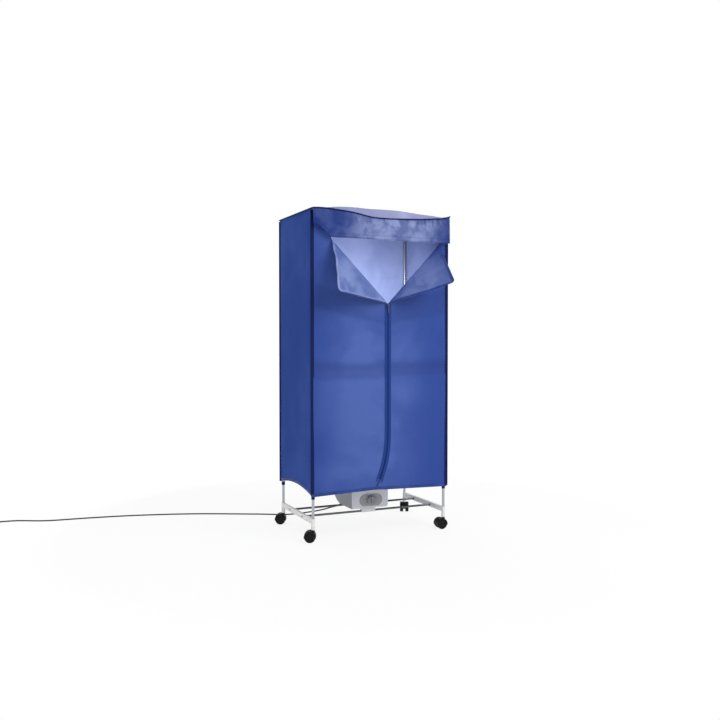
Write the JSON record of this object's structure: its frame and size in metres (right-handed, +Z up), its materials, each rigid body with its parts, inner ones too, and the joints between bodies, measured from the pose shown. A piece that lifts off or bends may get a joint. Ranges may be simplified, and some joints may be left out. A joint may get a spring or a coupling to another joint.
{
  "type": "drying cabinet",
  "caption": "Wheeled clothes drying cabinet: tube frame on casters under a zipped cloth cover, with a warm-air unit and dial timer below its floor cloth.",
  "frame": {"origin": "on the floor, below the middle of the four posts", "axes": "+Z up, +X to the right of someone facing the zip, +Y from the front to the back"},
  "size_m": [2.0716, 1.1843, 1.5148],
  "materials": {
    "white_paint": "white powder coat",
    "steel_tube": "plated tube",
    "dark_rod": "dark plated rod",
    "zinc_screw": "zinc plate",
    "joint_plastic": "moulded white plastic",
    "caster_black": "moulded black nylon",
    "wheel_black": "moulded black nylon",
    "unit_grey": "fine moulded grain",
    "unit_light": "satin light grey",
    "dial_grey": "satin grey",
    "knob_grey": "satin grey",
    "switch_plastic": "moulded black plastic",
    "motor_steel": "dark paint",
    "element_alloy": "bare fins",
    "cord_black": "smooth flexible jacket",
    "plug_black": "moulded",
    "pin_metal": "plated brass",
    "cover_blue": "coated woven cloth with a soft sheen",
    "roof_blue": "coated woven cloth with a soft sheen",
    "floor_blue": "coated woven cloth",
    "trim_navy": "woven tape",
    "zip_navy": "moulded teeth on tape",
    "zip_metal": "dark enamel"
  },
  "bodies": {
    "cabinet": {"end_frame_left": "white_paint", "end_frame_right": "white_paint", "post_front_left": "steel_tube", "post_front_right": "steel_tube", "post_rear_left": "steel_tube", "post_rear_right": "steel_tube", "mid_rails_long": "steel_tube", "mid_rails_side": "steel_tube", "top_rails_long": "steel_tube", "top_rails_side": "steel_tube", "hanging_rods": "steel_tube", "base_rod_front": "dark_rod", "base_rod_rear": "dark_rod", "base_rod_screws": "zinc_screw", "caster_stems": "zinc_screw", "mid_connectors": "joint_plastic", "top_connectors": "joint_plastic", "heater_housing": "unit_grey", "outlet_grille": "unit_grey", "heater_front_panel": "unit_light", "rod_clips": "unit_light", "dial_plate": "dial_grey", "timer_switch": "switch_plastic", "fan_motor": "motor_steel", "heating_element": "element_alloy", "mains_cord": "cord_black", "cord_gland": "cord_black", "mains_plug": "plug_black", "plug_pins": "pin_metal", "cover_front_left": "cover_blue", "cover_front_right": "cover_blue", "cover_front_header": "cover_blue", "cover_left_side": "cover_blue", "cover_right_side": "cover_blue", "cover_back": "cover_blue", "cover_valance": "cover_blue", "cover_roof": "roof_blue", "cover_floor": "floor_blue", "cover_piping": "trim_navy", "corner_tabs": "trim_navy", "zip_chain": "zip_navy"},
    "caster_hood_front_left": {"caster_hood_front_left": "caster_black"},
    "caster_hood_front_right": {"caster_hood_front_right": "caster_black"},
    "caster_hood_rear_left": {"caster_hood_rear_left": "caster_black"},
    "caster_hood_rear_right": {"caster_hood_rear_right": "caster_black"},
    "wheel_front_left_outer": {"wheel_front_left_outer": "wheel_black"},
    "wheel_front_left_inner": {"wheel_front_left_inner": "wheel_black"},
    "wheel_front_right_outer": {"wheel_front_right_outer": "wheel_black"},
    "wheel_front_right_inner": {"wheel_front_right_inner": "wheel_black"},
    "wheel_rear_left_outer": {"wheel_rear_left_outer": "wheel_black"},
    "wheel_rear_left_inner": {"wheel_rear_left_inner": "wheel_black"},
    "wheel_rear_right_outer": {"wheel_rear_right_outer": "wheel_black"},
    "wheel_rear_right_inner": {"wheel_rear_right_inner": "wheel_black"},
    "timer_knob": {"timer_knob": "knob_grey"},
    "fan_rotor": {"fan_rotor": "switch_plastic"},
    "zip_slider": {"zip_slider": "zip_metal"},
    "zip_pull": {"zip_pull": "zip_metal"},
    "lapel_left": {"lapel_left": "cover_blue"},
    "lapel_right": {"lapel_right": "cover_blue"}
  },
  "joints": [
    {"name": "caster_front_left_swivel", "type": "hinge", "parent": "cabinet", "child": "caster_hood_front_left", "pos_m": [-0.3385, -0.205, 0.054], "axis": [0, 0, 1], "continuous": true},
    {"name": "wheel_front_left_outer_spin", "type": "hinge", "parent": "caster_hood_front_left", "child": "wheel_front_left_outer", "pos_m": [-0.35126, -0.19924, 0.025], "axis": [-0.4115, -0.9114, 0], "continuous": true},
    {"name": "wheel_front_left_inner_spin", "type": "hinge", "parent": "caster_hood_front_left", "child": "wheel_front_left_inner", "pos_m": [-0.35126, -0.19924, 0.025], "axis": [-0.4115, -0.9114, 0], "continuous": true},
    {"name": "caster_front_right_swivel", "type": "hinge", "parent": "cabinet", "child": "caster_hood_front_right", "pos_m": [0.3385, -0.205, 0.054], "axis": [0, 0, 1], "continuous": true},
    {"name": "wheel_front_right_outer_spin", "type": "hinge", "parent": "caster_hood_front_right", "child": "wheel_front_right_outer", "pos_m": [0.32455, -0.20378, 0.025], "axis": [-0.0872, -0.9962, 0], "continuous": true},
    {"name": "wheel_front_right_inner_spin", "type": "hinge", "parent": "caster_hood_front_right", "child": "wheel_front_right_inner", "pos_m": [0.32455, -0.20378, 0.025], "axis": [-0.0872, -0.9962, 0], "continuous": true},
    {"name": "caster_rear_left_swivel", "type": "hinge", "parent": "cabinet", "child": "caster_hood_rear_left", "pos_m": [-0.3385, 0.205, 0.054], "axis": [0, 0, 1], "continuous": true},
    {"name": "wheel_rear_left_outer_spin", "type": "hinge", "parent": "caster_hood_rear_left", "child": "wheel_rear_left_outer", "pos_m": [-0.35126, 0.21076, 0.025], "axis": [-0.4115, -0.9114, 0], "continuous": true},
    {"name": "wheel_rear_left_inner_spin", "type": "hinge", "parent": "caster_hood_rear_left", "child": "wheel_rear_left_inner", "pos_m": [-0.35126, 0.21076, 0.025], "axis": [-0.4115, -0.9114, 0], "continuous": true},
    {"name": "caster_rear_right_swivel", "type": "hinge", "parent": "cabinet", "child": "caster_hood_rear_right", "pos_m": [0.3385, 0.205, 0.054], "axis": [0, 0, 1], "continuous": true},
    {"name": "wheel_rear_right_outer_spin", "type": "hinge", "parent": "caster_hood_rear_right", "child": "wheel_rear_right_outer", "pos_m": [0.34426, 0.21776, 0.025], "axis": [-0.9114, 0.4115, 0], "continuous": true},
    {"name": "wheel_rear_right_inner_spin", "type": "hinge", "parent": "caster_hood_rear_right", "child": "wheel_rear_right_inner", "pos_m": [0.34426, 0.21776, 0.025], "axis": [-0.9114, 0.4115, 0], "continuous": true},
    {"name": "timer_turn", "type": "hinge", "parent": "cabinet", "child": "timer_knob", "pos_m": [0.004, -0.09, 0.144], "axis": [0, 1, 0], "range_deg": [0, 300]},
    {"name": "fan_spin", "type": "hinge", "parent": "cabinet", "child": "fan_rotor", "pos_m": [0, 0.02, 0.163], "axis": [0, 0, 1], "continuous": true},
    {"name": "zip_slide", "type": "slide", "parent": "cabinet", "child": "zip_slider", "axis": [0, 0, 1], "range_m": [-0.58, 0]},
    {"name": "zip_pull_swing", "type": "hinge", "parent": "zip_slider", "child": "zip_pull", "pos_m": [0.02, -0.2489, 1.0745], "axis": [-1, 0, 0], "range_deg": [0, 165]},
    {"name": "lapel_left_fold", "type": "hinge", "parent": "cabinet", "child": "lapel_left", "pos_m": [0.01993, -0.24305, 1.083], "axis": [0.6923, -0.0487, -0.7199], "range_deg": [-98, 29]},
    {"name": "lapel_right_fold", "type": "hinge", "parent": "cabinet", "child": "lapel_right", "pos_m": [0.02008, -0.24305, 1.083], "axis": [0.7011, 0.0553, 0.711], "range_deg": [-72, 55]}
  ]
}
